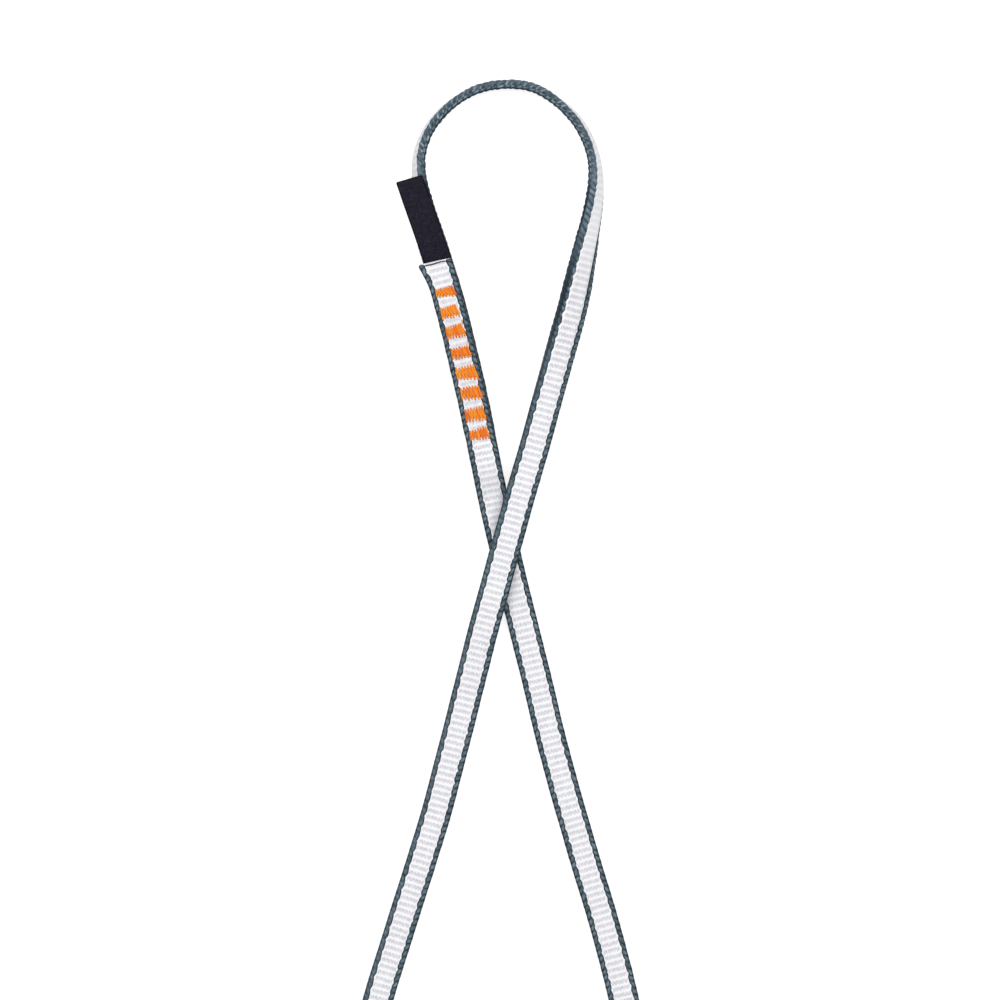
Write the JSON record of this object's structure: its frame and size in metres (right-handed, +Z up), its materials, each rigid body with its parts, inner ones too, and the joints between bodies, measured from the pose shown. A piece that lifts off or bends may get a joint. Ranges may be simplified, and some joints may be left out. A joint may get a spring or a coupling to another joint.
{
  "type": "climbing sling",
  "caption": "Sewn loop of narrow flat webbing, closed by a bar-tacked lap joint with a folded label, laid in a figure of eight.",
  "frame": {"origin": "on the surface the sling lies on, under the middle of its outline", "axes": "+Z up from the surface; +Y along the sling towards the sewn end's loop, which is up in the picture; +X to the right in the picture"},
  "size_m": [0.1094, 0.5582, 0.0129],
  "materials": {
    "white_yarn": "white woven high-modulus yarn with fine crosswise ribs",
    "slate_yarn": "slate grey woven edge yarn",
    "orange_thread": "bright orange sewing thread in dense zigzag stitches",
    "label_cloth": "black woven label cloth, bare"
  },
  "bodies": {
    "sling": {"webbing_core_top_loop": "white_yarn", "webbing_core_crossing_over": "white_yarn", "webbing_core_left_side": "white_yarn", "webbing_core_lower_bend": "white_yarn", "webbing_core_right_side": "white_yarn", "webbing_core_crossing_under": "white_yarn", "selvedge_inner_top_loop": "slate_yarn", "selvedge_inner_crossing_over": "slate_yarn", "selvedge_inner_left_side": "slate_yarn", "selvedge_inner_lower_bend": "slate_yarn", "selvedge_inner_right_side": "slate_yarn", "selvedge_inner_crossing_under": "slate_yarn", "selvedge_outer_top_loop": "slate_yarn", "selvedge_outer_crossing_over": "slate_yarn", "selvedge_outer_left_side": "slate_yarn", "selvedge_outer_lower_bend": "slate_yarn", "selvedge_outer_right_side": "slate_yarn", "selvedge_outer_crossing_under": "slate_yarn", "bar_tack_1": "orange_thread", "bar_tack_2": "orange_thread", "bar_tack_3": "orange_thread", "bar_tack_4": "orange_thread", "bar_tack_5": "orange_thread", "bar_tack_6": "orange_thread", "bar_tack_7": "orange_thread", "bar_tack_8": "orange_thread", "label_tail": "label_cloth"},
    "label": {"label_flap": "label_cloth"}
  },
  "joints": [
    {"name": "label_fold", "type": "hinge", "parent": "sling", "child": "label", "pos_m": [-0.02132, 0.21847, 0.00472], "axis": [0.9467, 0.299, 0.1201], "range_deg": [0, 85]}
  ]
}
